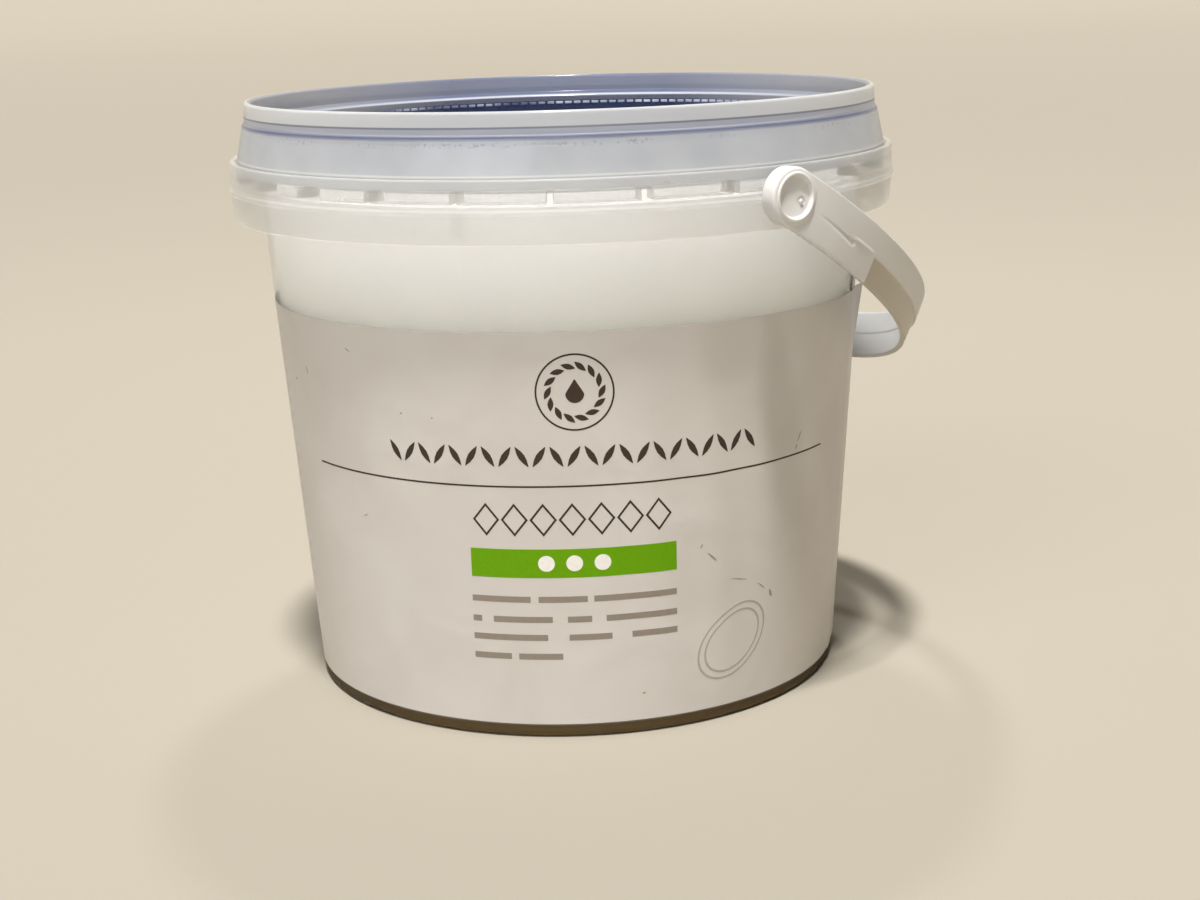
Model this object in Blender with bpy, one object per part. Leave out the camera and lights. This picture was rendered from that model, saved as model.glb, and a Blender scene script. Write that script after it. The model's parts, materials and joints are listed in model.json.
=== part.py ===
# Shut one-litre tub of burrata: a translucent tub with a collar, a press-on lid, the milky
# contents, a wrap-round label and a swinging bail handle.
# Units are metres, +Z is up, the origin is the centre of the base and the label faces -Y.
import math

import bmesh
import bpy
from mathutils import Matrix, Vector

MM = 0.001
SEGMENTS = 60                      # flats around every turned piece
GAP = 0.3 * MM                     # clearance where one piece touches another

# Tub
WALL_BASE_RADIUS = 53.7 * MM       # outside of the wall, carried down to the base plane
WALL_DRAFT = 0.070                 # growth of the radius for each unit of height
WALL_THICKNESS = 0.9 * MM
BASE_ROUND = 1.3 * MM
FLOOR_TOP = 1.4 * MM
FLOOR_ROUND = 2.2 * MM
GATE_PAD_RADIUS = 14 * MM          # flat pad left by the mould in the middle of the base
STANDING_RING_RADIUS = 47 * MM
BASE_RECESS = 0.5 * MM
RIM_TOP = 110.5 * MM
RIM_BEAD = 0.8 * MM                # bead under the top of the wall

# Collar around the top of the tub
COLLAR_RADIUS = 66.5 * MM
COLLAR_INNER_RADIUS = 65.4 * MM
COLLAR_TOP = 106.6 * MM
COLLAR_BOTTOM = 95.1 * MM
COLLAR_BOTTOM_RADIUS = 66.0 * MM
COLLAR_SKIRT_THICKNESS = 1.0 * MM
COLLAR_ROUND = 0.5 * MM
FLANGE_BOTTOM = 101.2 * MM
FLANGE_TOP = 102.2 * MM
FIN_HEIGHT = 100.9 * MM            # thin parting line that runs round the collar
FIN_RADIUS = 66.8 * MM
FIN_HALF = 0.15 * MM

# Webs between the wall and the collar
WEB_COUNT = 24
WEB_PHASE = -2.0                   # degrees from the front to the nearest web
WEB_WIDTH = 1.3 * MM
WEB_TOP = 104.3 * MM
LOWER_WEB_STEP = 6                 # every sixth web also runs below the flange
LOWER_WEB_BOTTOM = 96.4 * MM

# Lid
LID_TOP = 118 * MM
LID_RING_RADIUS = 63.0 * MM
LID_RING_INNER_RADIUS = 61.5 * MM
LID_RIM_ROUND = 0.5 * MM
LID_STEP_HEIGHT = 114.0 * MM
LID_STEP_RADIUS = 63.6 * MM
LID_SKIRT_RADIUS = 64.95 * MM
LID_SKIRT_BOTTOM = 104.6 * MM
LID_SKIRT_THICKNESS = 1.1 * MM
LID_CHANNEL_TOP = 112.2 * MM
LID_PLUG_RADIUS = 59.8 * MM
LID_PLUG_BOTTOM = 104.4 * MM
LID_PLUG_THICKNESS = 1.0 * MM
LID_SHOULDER_HEIGHT = 113.5 * MM
LID_PANEL_TOP = 106.4 * MM
LID_PANEL_THICKNESS = 1.0 * MM

# Contents and label
LIQUID_LEVEL = 104.0 * MM
LABEL_BOTTOM = 2.8 * MM
LABEL_TOP = 78.3 * MM
LABEL_GAP = 0.2 * MM
LABEL_THICKNESS = 0.2 * MM
LABEL_LAP_RISE = 0.3 * MM          # how far the lap stands above the layer under it
LABEL_SEAM = 80.0                  # degrees from the front to the outer end of the label
LABEL_LAP = 12.0                   # degrees that the two ends overlap

# Handle, a strap bent into half an ellipse between two pivots on the collar
PIVOT_AZIMUTH = 36.0               # degrees from the front
PIVOT_HEIGHT = 101.2 * MM
HANDLE_DROOP = 30.0                # degrees that the resting handle hangs below level
HANDLE_RADIUS = 70.0 * MM          # outer face of the strap at a pivot
HANDLE_REACH = 84.5 * MM           # outer face of the strap at the middle of the arch
STRAP_WIDTH = 10.6 * MM
STRAP_THICKNESS = 1.6 * MM
STRAP_RIDGE = 0.35 * MM            # crown along the middle of the outer face
STRAP_STEPS = 30
END_STEPS = 5
BOSS_RADIUS = 4.8 * MM
BOSS_FACE = 66.9 * MM              # distance from the axis to the flat of the boss
PAD_FACE = BOSS_FACE + GAP
STUD_RADIUS = 2.3 * MM
STUD_TIP = 64.2 * MM


def clear_scene():
    for old in list(bpy.data.objects):
        bpy.data.objects.remove(old, do_unlink=True)


def material(name, colour, roughness, transmission=0.0):
    finish = bpy.data.materials.new(name)
    finish.use_nodes = True
    shader = finish.node_tree.nodes["Principled BSDF"]
    shader.inputs["Base Color"].default_value = (*colour, 1.0)
    shader.inputs["Roughness"].default_value = roughness
    shader.inputs["Transmission Weight"].default_value = transmission
    finish.diffuse_color = (*colour, 1.0)
    return finish


def wall_radius(height):
    return WALL_BASE_RADIUS + WALL_DRAFT * height


def arc(centre_r, centre_z, radius, start, end, steps):
    """Points of an arc in the (r, z) plane, with its angles in degrees."""
    angles = [math.radians(start + (end - start) * i / steps) for i in range(steps + 1)]
    return [(centre_r + radius * math.cos(a), centre_z + radius * math.sin(a)) for a in angles]


def around(radius, azimuth, height):
    """A point at an azimuth in degrees, measured from the front towards +X."""
    angle = math.radians(azimuth)
    return Vector((radius * math.sin(angle), -radius * math.cos(angle), height))


def add_object(name, mesh_data, finish):
    mesh = bpy.data.meshes.new(name)
    mesh_data.to_mesh(mesh)
    mesh_data.free()
    mesh.materials.append(finish)
    mesh.shade_smooth()
    mesh.set_sharp_from_angle(angle=math.radians(35))
    created = bpy.data.objects.new(name, mesh)
    bpy.context.scene.collection.objects.link(created)
    return created


def turned(name, outline, finish):
    """Spin an open outline whose two ends lie on the axis into one closed solid."""
    shape = bmesh.new()
    points = [shape.verts.new((r, 0.0, z)) for r, z in outline]
    edges = [shape.edges.new(pair) for pair in zip(points, points[1:])]
    bmesh.ops.spin(shape, geom=points + edges, cent=(0, 0, 0), axis=(0, 0, 1),
                   angle=math.tau, steps=SEGMENTS, use_duplicate=False)
    bmesh.ops.remove_doubles(shape, verts=shape.verts, dist=0.001 * MM)
    bmesh.ops.recalc_face_normals(shape, faces=shape.faces)
    return add_object(name, shape, finish)


def hide_tool(tool):
    tool.hide_render = True
    tool.display_type = "WIRE"


def combine(target, tool, operation):
    step = target.modifiers.new(tool.name, "BOOLEAN")
    step.operation = operation
    step.solver = "EXACT"
    step.object = tool
    hide_tool(tool)


def radial_box(name, inner, outer, width, bottom, top, azimuths, finish):
    """Boxes that reach outwards from the axis, one at each azimuth, in one mesh."""
    shape = bmesh.new()
    for azimuth in azimuths:
        place = Matrix.Rotation(math.radians(azimuth), 4, "Z")
        middle = Matrix.Translation((0, -(inner + outer) / 2, (bottom + top) / 2))
        size = Matrix.Diagonal((width, outer - inner, top - bottom, 1))
        bmesh.ops.create_cube(shape, size=1.0, matrix=place @ middle @ size)
    return add_object(name, shape, finish)


def pivot_frame():
    """Columns: pivot axis, arch direction, width direction; origin between the pivots."""
    axis = around(1.0, PIVOT_AZIMUTH, 0.0)
    level = around(1.0, PIVOT_AZIMUTH + 90, 0.0)
    droop = math.radians(HANDLE_DROOP)
    arch = level * math.cos(droop) - Vector((0, 0, math.sin(droop)))
    width = level * math.sin(droop) + Vector((0, 0, math.cos(droop)))
    frame = Matrix((axis, arch, width)).transposed().to_4x4()
    return Matrix.Translation((0, 0, PIVOT_HEIGHT)) @ frame


def pivot_cylinder(shape, radius, inner, outer, side, facets):
    """A cylinder on the pivot axis between two distances, on side +1 or -1."""
    turn = Matrix.Rotation(math.radians(90), 4, "Y")
    middle = Matrix.Translation((side * (inner + outer) / 2, 0, 0))
    bmesh.ops.create_cone(shape, cap_ends=True, segments=facets, radius1=radius, radius2=radius,
                          depth=outer - inner, matrix=pivot_frame() @ middle @ turn)


def pivot_pair(name, radius, inner, outer, facets, finish):
    shape = bmesh.new()
    for side in (1, -1):
        pivot_cylinder(shape, radius, inner, outer, side, facets)
    return add_object(name, shape, finish)


def tub_outline():
    flange_wall = wall_radius(FLANGE_BOTTOM)
    skirt_inner = COLLAR_BOTTOM_RADIUS - COLLAR_SKIRT_THICKNESS
    rim_radius = wall_radius(RIM_TOP)
    inner_rim = rim_radius - WALL_THICKNESS
    inner_floor = wall_radius(FLOOR_TOP) - WALL_THICKNESS
    base_edge = wall_radius(BASE_ROUND) - BASE_ROUND
    slope = BASE_RECESS * 1.5
    under = [
        (0, 0),
        (GATE_PAD_RADIUS, 0),
        (GATE_PAD_RADIUS + slope, BASE_RECESS),
        (STANDING_RING_RADIUS - slope, BASE_RECESS),
        (STANDING_RING_RADIUS, 0),
    ]
    foot = arc(base_edge, BASE_ROUND, BASE_ROUND, -90, 0, 3)
    skirt = [
        (flange_wall, FLANGE_BOTTOM),
        (COLLAR_INNER_RADIUS, FLANGE_BOTTOM),
        (skirt_inner, COLLAR_BOTTOM + COLLAR_ROUND / 2),
        (skirt_inner + COLLAR_ROUND / 2, COLLAR_BOTTOM),
        (COLLAR_BOTTOM_RADIUS - COLLAR_ROUND / 2, COLLAR_BOTTOM),
        (COLLAR_BOTTOM_RADIUS, COLLAR_BOTTOM + COLLAR_ROUND / 2),
    ]
    fin = [
        (COLLAR_RADIUS, FIN_HEIGHT - 2 * FIN_HALF),
        (FIN_RADIUS, FIN_HEIGHT - FIN_HALF),
        (FIN_RADIUS, FIN_HEIGHT + FIN_HALF),
        (COLLAR_RADIUS, FIN_HEIGHT + 2 * FIN_HALF),
    ]
    lip = arc(COLLAR_RADIUS - COLLAR_ROUND, COLLAR_TOP - COLLAR_ROUND, COLLAR_ROUND, 0, 90, 2)
    lip += [
        (COLLAR_INNER_RADIUS, COLLAR_TOP - COLLAR_ROUND / 2),
        (COLLAR_INNER_RADIUS, FLANGE_TOP),
        (wall_radius(FLANGE_TOP), FLANGE_TOP),
    ]
    bead_height = RIM_TOP - RIM_BEAD
    rim = [
        (wall_radius(bead_height - RIM_BEAD), bead_height - RIM_BEAD),
        (rim_radius + RIM_BEAD / 2, bead_height),
        (rim_radius - RIM_BEAD / 4, RIM_TOP),
        (inner_rim, RIM_TOP),
    ]
    floor = arc(inner_floor - FLOOR_ROUND, FLOOR_TOP + FLOOR_ROUND, FLOOR_ROUND, 0, -90, 3)
    return under + foot + skirt + fin + lip + rim + floor + [(0, FLOOR_TOP)]


def make_tub():
    finish = material("clear_polypropylene_tub", (0.78, 0.80, 0.80), 0.3, 0.6)
    tub = turned("tub", tub_outline(), finish)
    azimuths = [WEB_PHASE + 360 / WEB_COUNT * i for i in range(WEB_COUNT)]
    reach_in = wall_radius(FLANGE_TOP) - WALL_THICKNESS / 2
    reach_out = COLLAR_INNER_RADIUS + WALL_THICKNESS / 2
    middle = (FLANGE_BOTTOM + FLANGE_TOP) / 2
    upper = radial_box("upper_webs", reach_in, reach_out, WEB_WIDTH, middle, WEB_TOP,
                       azimuths, finish)
    lower_in = wall_radius(LOWER_WEB_BOTTOM) - WALL_THICKNESS / 2
    lower = radial_box("lower_webs", lower_in, COLLAR_BOTTOM_RADIUS - WALL_THICKNESS / 2,
                       WEB_WIDTH, LOWER_WEB_BOTTOM, middle,
                       azimuths[LOWER_WEB_STEP - 1::LOWER_WEB_STEP], finish)
    bosses = pivot_pair("pivot_bosses", BOSS_RADIUS, COLLAR_INNER_RADIUS + GAP, BOSS_FACE,
                        24, finish)
    holes = pivot_pair("pivot_holes", STUD_RADIUS + GAP, STUD_TIP - GAP, BOSS_FACE + GAP,
                       20, finish)
    combine(tub, upper, "UNION")
    combine(tub, lower, "UNION")
    combine(tub, bosses, "UNION")
    combine(tub, holes, "DIFFERENCE")


def make_lid():
    ring_out = LID_RING_RADIUS
    plug_in = LID_PLUG_RADIUS - LID_PLUG_THICKNESS
    skirt_in = LID_SKIRT_RADIUS - LID_SKIRT_THICKNESS
    channel_out = LID_STEP_RADIUS - LID_SKIRT_THICKNESS
    panel_bottom = LID_PANEL_TOP - LID_PANEL_THICKNESS
    round_radius = LID_RIM_ROUND
    outline = [
        (0, panel_bottom),
        (plug_in - LID_PLUG_THICKNESS / 2, panel_bottom),
        (plug_in, LID_PLUG_BOTTOM),
        (LID_PLUG_RADIUS - 0.2 * MM, LID_PLUG_BOTTOM),
        (LID_PLUG_RADIUS, LID_PLUG_BOTTOM + LID_PLUG_THICKNESS),
        (LID_PLUG_RADIUS, LID_CHANNEL_TOP - 0.6 * MM),
        (LID_PLUG_RADIUS + 0.6 * MM, LID_CHANNEL_TOP),
        (channel_out - 0.6 * MM, LID_CHANNEL_TOP),
        (channel_out, LID_CHANNEL_TOP - 0.6 * MM),
        (skirt_in, COLLAR_TOP),
        (skirt_in, LID_SKIRT_BOTTOM),
        (LID_SKIRT_RADIUS, LID_SKIRT_BOTTOM),
        (LID_SKIRT_RADIUS, COLLAR_TOP + GAP),
        (LID_STEP_RADIUS, LID_STEP_HEIGHT - 0.6 * MM),
        (ring_out + 0.15 * MM, LID_STEP_HEIGHT),
    ]
    outline += arc(ring_out - round_radius, LID_TOP - round_radius, round_radius, 0, 90, 2)
    outline += arc(LID_RING_INNER_RADIUS + round_radius, LID_TOP - round_radius, round_radius,
                   90, 180, 2)
    outline += [
        (LID_RING_INNER_RADIUS, LID_SHOULDER_HEIGHT + 0.8 * MM),
        (plug_in + 0.3 * MM, LID_SHOULDER_HEIGHT),
        (plug_in, LID_SHOULDER_HEIGHT - 0.4 * MM),
        (plug_in - 0.2 * MM, LID_PANEL_TOP + 0.6 * MM),
        (plug_in - 0.8 * MM, LID_PANEL_TOP),
        (0, LID_PANEL_TOP),
    ]
    turned("lid", outline, material("frosted_polypropylene_lid", (0.80, 0.82, 0.86), 0.35, 0.6))


def make_contents():
    clearance = WALL_THICKNESS + GAP
    bottom = FLOOR_TOP + GAP
    corner = arc(wall_radius(bottom) - clearance - FLOOR_ROUND, bottom + FLOOR_ROUND,
                 FLOOR_ROUND, -90, 0, 3)
    outline = [(0, bottom)] + corner
    outline += [(wall_radius(LIQUID_LEVEL) - clearance, LIQUID_LEVEL), (0, LIQUID_LEVEL)]
    turned("contents", outline, material("milky_whey", (0.84, 0.82, 0.72), 0.35))


def make_label():
    """A strip wound once round the wall, its outer end lapped over its inner end."""
    step = 360 / SEGMENTS
    lap_steps = round(LABEL_LAP / step)
    count = SEGMENTS + lap_steps
    shape = bmesh.new()
    previous = None
    rings = []
    for i in range(count + 1):
        azimuth = LABEL_SEAM - 360 - LABEL_LAP + step * i
        lifted = min(1.0, max(0.0, i - (SEGMENTS - 1)))
        inner = LABEL_GAP + LABEL_LAP_RISE * lifted
        corners = []
        for height, offset in ((LABEL_BOTTOM, inner), (LABEL_BOTTOM, inner + LABEL_THICKNESS),
                               (LABEL_TOP, inner + LABEL_THICKNESS), (LABEL_TOP, inner)):
            corners.append(shape.verts.new(around(wall_radius(height) + offset, azimuth, height)))
        if previous:
            for j in range(4):
                k = (j + 1) % 4
                shape.faces.new((previous[j], previous[k], corners[k], corners[j]))
        previous = corners
        rings.append(corners)
    shape.faces.new(rings[0])
    shape.faces.new(rings[-1])
    bmesh.ops.recalc_face_normals(shape, faces=shape.faces)
    add_object("label", shape, material("satin_paper_label", (0.86, 0.84, 0.80), 0.5))


def strap_section(half_width):
    """Corners across the strap as (width, thickness) pairs, with thickness outwards."""
    edge = min(0.4 * MM, half_width / 2)
    inner_flat = half_width - edge
    return [
        (-half_width, edge),
        (-inner_flat, 0),
        (inner_flat, 0),
        (half_width, edge),
        (half_width, STRAP_THICKNESS - edge),
        (inner_flat, STRAP_THICKNESS),
        (0, STRAP_THICKNESS + STRAP_RIDGE * inner_flat / (STRAP_WIDTH / 2)),
        (-inner_flat, STRAP_THICKNESS),
        (-half_width, STRAP_THICKNESS - edge),
    ]


def strap_stations():
    """Place, outward normal and half width at each cut across the strap."""
    radius = HANDLE_RADIUS - STRAP_THICKNESS
    reach = HANDLE_REACH - STRAP_THICKNESS
    half = STRAP_WIDTH / 2
    tip = [math.radians(8 + 82 * i / END_STEPS) for i in range(END_STEPS)]
    ends = [(half * math.cos(a), half * math.sin(a)) for a in tip]
    stations = [(radius, -back, (1, 0), wide) for back, wide in ends]
    for i in range(STRAP_STEPS + 1):
        angle = math.pi * i / STRAP_STEPS
        normal = Vector((math.cos(angle) / radius, math.sin(angle) / reach)).normalized()
        stations.append((radius * math.cos(angle), reach * math.sin(angle), normal, half))
    stations += [(-radius, -back, (-1, 0), wide) for back, wide in reversed(ends)]
    return stations


def make_handle():
    finish = material("white_polypropylene_handle", (0.86, 0.84, 0.80), 0.35)
    place = pivot_frame()
    shape = bmesh.new()
    rings = []
    for along, out, normal, half_width in strap_stations():
        ring = []
        for across, thick in strap_section(half_width):
            point = Vector((along + normal[0] * thick, out + normal[1] * thick, across))
            ring.append(shape.verts.new(place @ point))
        rings.append(ring)
    for first, second in zip(rings, rings[1:]):
        for j in range(len(first)):
            k = (j + 1) % len(first)
            shape.faces.new((first[j], first[k], second[k], second[j]))
    shape.faces.new(rings[0])
    shape.faces.new(rings[-1])
    bmesh.ops.recalc_face_normals(shape, faces=shape.faces)
    shape.transform(place.inverted())
    handle = add_object("handle", shape, finish)
    handle.matrix_world = place
    strap_middle = HANDLE_RADIUS - STRAP_THICKNESS / 2
    pads = pivot_pair("handle_pads", STRAP_WIDTH / 2 - 0.1 * MM, PAD_FACE, strap_middle,
                      28, finish)
    studs = pivot_pair("handle_studs", STUD_RADIUS, STUD_TIP, strap_middle, 20, finish)
    combine(handle, pads, "UNION")
    combine(handle, studs, "UNION")


clear_scene()
make_tub()
make_lid()
make_contents()
make_label()
make_handle()
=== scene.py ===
import bisect
import json
import math

import bpy
from mathutils import Matrix, Vector


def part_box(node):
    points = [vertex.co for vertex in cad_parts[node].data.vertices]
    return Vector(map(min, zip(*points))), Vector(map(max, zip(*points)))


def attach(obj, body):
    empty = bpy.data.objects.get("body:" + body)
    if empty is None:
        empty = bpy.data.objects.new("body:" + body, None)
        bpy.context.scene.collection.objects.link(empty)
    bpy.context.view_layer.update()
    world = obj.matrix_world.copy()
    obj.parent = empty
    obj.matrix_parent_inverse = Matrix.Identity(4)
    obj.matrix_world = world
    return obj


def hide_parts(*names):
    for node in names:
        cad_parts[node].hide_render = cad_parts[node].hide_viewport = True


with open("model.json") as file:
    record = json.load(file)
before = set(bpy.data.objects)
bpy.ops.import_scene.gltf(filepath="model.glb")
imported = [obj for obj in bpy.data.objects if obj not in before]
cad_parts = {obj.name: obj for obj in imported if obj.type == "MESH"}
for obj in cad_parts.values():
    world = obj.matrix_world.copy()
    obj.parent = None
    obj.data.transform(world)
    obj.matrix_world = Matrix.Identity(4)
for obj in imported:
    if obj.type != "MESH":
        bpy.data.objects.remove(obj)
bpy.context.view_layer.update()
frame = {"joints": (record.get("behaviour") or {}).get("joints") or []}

mm = 0.001
scene = bpy.context.scene


def hexColour(code):
    channels = [int(code[i:i + 2], 16) / 255 for i in (1, 3, 5)]
    linear = [c / 12.92 if c <= 0.04045 else ((c + 0.055) / 1.055) ** 2.4 for c in channels]
    return (*linear, 1.0)


def addNode(tree, kind, settings=None, links=None):
    node = tree.nodes.new(kind)
    for key, value in (settings or {}).items():
        if isinstance(key, str) and hasattr(node, key):
            setattr(node, key, value)
        else:
            node.inputs[key].default_value = value
    for key, socket in (links or {}).items():
        tree.links.new(socket, node.inputs[key])
    return node


def newMaterial(name):
    made = bpy.data.materials.new(name)
    made.use_nodes = True
    made.node_tree.nodes.clear()
    return made, made.node_tree


def colourRamp(tree, factor, stops):
    ramp = addNode(tree, "ShaderNodeValToRGB", links={"Fac": factor})
    while len(ramp.color_ramp.elements) < len(stops):
        ramp.color_ramp.elements.new(0.5)
    for element, (place, colour) in zip(ramp.color_ramp.elements, stops):
        element.position = place
        element.color = hexColour(colour) if isinstance(colour, str) else (colour, colour, colour, 1)
    return ramp.outputs["Color"]


def selectOnly(*pieces):
    bpy.ops.object.select_all(action="DESELECT")
    for piece in pieces:
        piece.select_set(True)
    bpy.context.view_layer.objects.active = pieces[0]


def applyModifier(piece, kind, **settings):
    selectOnly(piece)
    bpy.ops.object.modifier_add(type=kind)
    modifier = piece.modifiers[-1]
    for key, value in settings.items():
        setattr(modifier, key, value)
    bpy.ops.object.modifier_apply(modifier=modifier.name)


def cutOrJoin(piece, tool, operation):
    applyModifier(piece, "BOOLEAN", operation=operation, solver="EXACT", object=tool)
    bpy.data.objects.remove(tool)


def joinPieces(name, pieces):
    if len(pieces) > 1:
        selectOnly(*pieces)
        bpy.ops.object.join()
    pieces[0].name = name
    return pieces[0]


def settle(piece):
    selectOnly(piece)
    bpy.ops.object.transform_apply(location=True, rotation=True, scale=True)


def smooth(piece, angle=35):
    selectOnly(piece)
    bpy.ops.object.shade_smooth_by_angle(angle=math.radians(angle))


def faceOutwards(piece, outwards):  # turns an open sheet so that its faces look away from the object
    piece.data.update()
    total = sum(face.normal.dot(outwards(face.center)) * face.area for face in piece.data.polygons)
    if total < 0:
        piece.data.flip_normals()


def around(radius, azimuth, height):  # azimuth in degrees from the front towards +X
    a = math.radians(azimuth)
    return Vector((radius * math.sin(a), -radius * math.cos(a), height))


def roundedOutline(corners):  # corners are (radius, height, rounding) in millimetres
    points = []
    for i, (r, z, size) in enumerate(corners):
        here = Vector((r, z))
        if size == 0 or i in (0, len(corners) - 1):
            points.append(here)
            continue
        before = (Vector(corners[i - 1][:2]) - here).normalized()
        after = (Vector(corners[i + 1][:2]) - here).normalized()
        half = before.angle(after) / 2
        reach = size / math.tan(half)
        centre = here + (before + after).normalized() * size / math.sin(half)
        start = here + before * reach - centre
        end = here + after * reach - centre
        steps = max(3, round(math.degrees(start.angle(end)) / 18))
        for k in range(steps + 1):
            points.append(centre + start.slerp(end, k / steps).normalized() * size)
    return points


def turnOutline(name, corners, segments=240):  # an outline extruded point by point, then spun
    points = roundedOutline(corners)
    bpy.ops.object.select_all(action="DESELECT")
    bpy.ops.mesh.primitive_plane_add(size=mm)
    piece = bpy.context.object
    piece.name = name
    bpy.ops.object.mode_set(mode="EDIT")
    bpy.ops.mesh.merge(type="CENTER")
    bpy.ops.transform.translate(value=(points[0].x * mm, 0, points[0].y * mm))
    for first, second in zip(points, points[1:]):
        step = (second - first) * mm
        bpy.ops.mesh.extrude_vertices_move(TRANSFORM_OT_translate={"value": (step.x, 0, step.y)})
    bpy.ops.mesh.select_all(action="SELECT")
    bpy.ops.mesh.spin(steps=segments, angle=math.tau, center=(0, 0, 0), axis=(0, 0, 1))
    bpy.ops.mesh.select_all(action="SELECT")
    bpy.ops.mesh.remove_doubles(threshold=0.002 * mm)
    bpy.ops.mesh.normals_make_consistent(inside=False)
    bpy.ops.object.mode_set(mode="OBJECT")
    return piece


def finishPiece(piece, material, body, node, angle=35):
    piece.data.materials.clear()
    piece.data.materials.append(material)
    smooth(piece, angle)
    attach(piece, body)
    if node:
        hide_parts(node)


view = {
    "lens": 60,              # for a sensor 36 mm wide
    "place": (0, -0.4098, 0.1405),
    "turn": -0.0149,         # radians to the side
    "down": 0.2336,          # radians below level
    "lean": -0.0294,         # radians round the line of sight
}

bpy.ops.object.camera_add()
camera = bpy.context.object
camera.data.lens = view["lens"]
camera.data.sensor_width = 36
camera.data.clip_start = 0.01
aim = (Matrix.Rotation(view["turn"], 3, "Z") @ Matrix.Rotation(math.pi / 2 - view["down"], 3, "X")
       @ Matrix.Rotation(view["lean"], 3, "Z"))
camera.matrix_world = Matrix.Translation(view["place"]) @ aim.to_4x4()
scene.camera = camera

studio = {
    "floorColour": "#9A9386", "floorRadius": 6000, "floorRise": 1800,   # millimetres
    "floorEdge": 300, "floorSag": 0.8, "floorRough": 0.75,
    "worldColour": "#EEDFC6", "worldStrength": 0.08,
    # name, azimuth from the front, height, strength, softness, colour: angles in degrees
    "suns": [
        ("ceilingLight", -5, 74, 5.4, 6, "#FFFDF9"),
        ("frontLight", -31, 26, 1.35, 40, "#F5F9FF"),
        ("backLight", 165, 40, 0.3, 60, "#FFF2DE"),
        ("sideLight", 65, 5, 0.3, 30, "#FFFFF9"),
    ],
    # name, place, aim, size, watts, colour: lengths in metres
    "lamps": [
        ("glossLamp", (0.0, 0.40, 0.78), (0, 0, 0.09), 0.07, 1.8, "#FFFFFF"),
    ],
}


def makeStudio():  # the floor is one pale sheet that rises far away, so no horizon shows
    corners = [(0, 0, 0),
               (studio["floorRadius"], 0, studio["floorRise"] * studio["floorSag"]),
               (studio["floorRadius"] + studio["floorEdge"], studio["floorRise"], 0)]
    floor = turnOutline("floor", corners, 64)
    selectOnly(floor)
    bpy.ops.object.mode_set(mode="EDIT")
    bpy.ops.mesh.select_all(action="SELECT")
    bpy.ops.mesh.flip_normals()
    bpy.ops.object.mode_set(mode="OBJECT")
    smooth(floor, 60)
    made, tree = newMaterial("paleFloor")
    shader = addNode(tree, "ShaderNodeBsdfPrincipled",
                     {"Base Color": hexColour(studio["floorColour"]),
                      "Roughness": studio["floorRough"]})
    addNode(tree, "ShaderNodeOutputMaterial", links={"Surface": shader.outputs[0]})
    floor.data.materials.append(made)
    world = bpy.data.worlds.new("studioLight")
    world.use_nodes = True
    glow = world.node_tree.nodes["Background"]
    glow.inputs["Color"].default_value = hexColour(studio["worldColour"])
    glow.inputs["Strength"].default_value = studio["worldStrength"]
    scene.world = world
    for name, azimuth, height, strength, softness, colour in studio["suns"]:
        bpy.ops.object.light_add(type="SUN")
        sun = bpy.context.object
        sun.name = name
        sun.data.energy = strength
        sun.data.angle = math.radians(softness)
        sun.data.color = hexColour(colour)[:3]
        rise = math.radians(height)
        towards = around(math.cos(rise), azimuth, math.sin(rise))
        sun.rotation_euler = towards.to_track_quat("Z", "Y").to_euler()
    for name, place, target, size, watts, colour in studio["lamps"]:
        bpy.ops.object.light_add(type="AREA", location=place)
        lamp = bpy.context.object
        lamp.name = name
        lamp.data.shape = "DISK"
        lamp.data.size = size
        lamp.data.energy = watts
        lamp.data.color = hexColour(colour)[:3]
        lamp.rotation_euler = (Vector(target) - Vector(place)).to_track_quat("-Z", "Y").to_euler()
    scene.view_settings.view_transform = "Standard"


makeStudio()
print("studio ready")


glanceBlend = 0.42              # how soon a film thickens towards its outline


def filmOver(tree, gloss, colour, opacity, edge, through):
    # milky film: light goes straight through, less so at a glancing angle, and some comes out scattered
    clear = addNode(tree, "ShaderNodeBsdfTransparent")
    scattered = addNode(tree, "ShaderNodeBsdfTranslucent", links={"Color": colour})
    milk = addNode(tree, "ShaderNodeMixShader", {0: through},
                   {1: gloss.outputs[0], 2: scattered.outputs[0]})
    facing = addNode(tree, "ShaderNodeLayerWeight", {"Blend": glanceBlend})
    amount = addNode(tree, "ShaderNodeMapRange", {"To Max": edge},
                     {"Value": facing.outputs["Facing"], "To Min": opacity})
    mix = addNode(tree, "ShaderNodeMixShader", links={0: amount.outputs[0], 1: clear.outputs[0],
                                                      2: milk.outputs[0]})
    addNode(tree, "ShaderNodeOutputMaterial", links={"Surface": mix.outputs[0]})


def heightAndRadius(tree, place):  # both in millimetres, the radius from the tub's own axis
    inMm = addNode(tree, "ShaderNodeVectorMath", {"operation": "SCALE", "Scale": 1 / mm}, {0: place})
    split = addNode(tree, "ShaderNodeSeparateXYZ", links={"Vector": inMm.outputs[0]})
    flat = addNode(tree, "ShaderNodeMapping", {"Scale": (1, 1, 0)}, {"Vector": inMm.outputs[0]})
    length = addNode(tree, "ShaderNodeVectorMath", {"operation": "LENGTH"}, {0: flat.outputs[0]})
    return split.outputs["Z"], length.outputs["Value"]


above = 200                     # an upper limit that lies past everything, in millimetres


def bandOf(tree, value, low, high, soft=0.1):  # one between low and high, and nothing outside
    rise = addNode(tree, "ShaderNodeMapRange", {"From Min": low - soft, "From Max": low + soft},
                   {"Value": value})
    fall = addNode(tree, "ShaderNodeMapRange", {"From Min": high - soft, "From Max": high + soft,
                                                "To Min": 1, "To Max": 0}, {"Value": value})
    both = addNode(tree, "ShaderNodeMath", {"operation": "MULTIPLY"}, {0: rise.outputs[0],
                                                                      1: fall.outputs[0]})
    return both.outputs[0]


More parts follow.
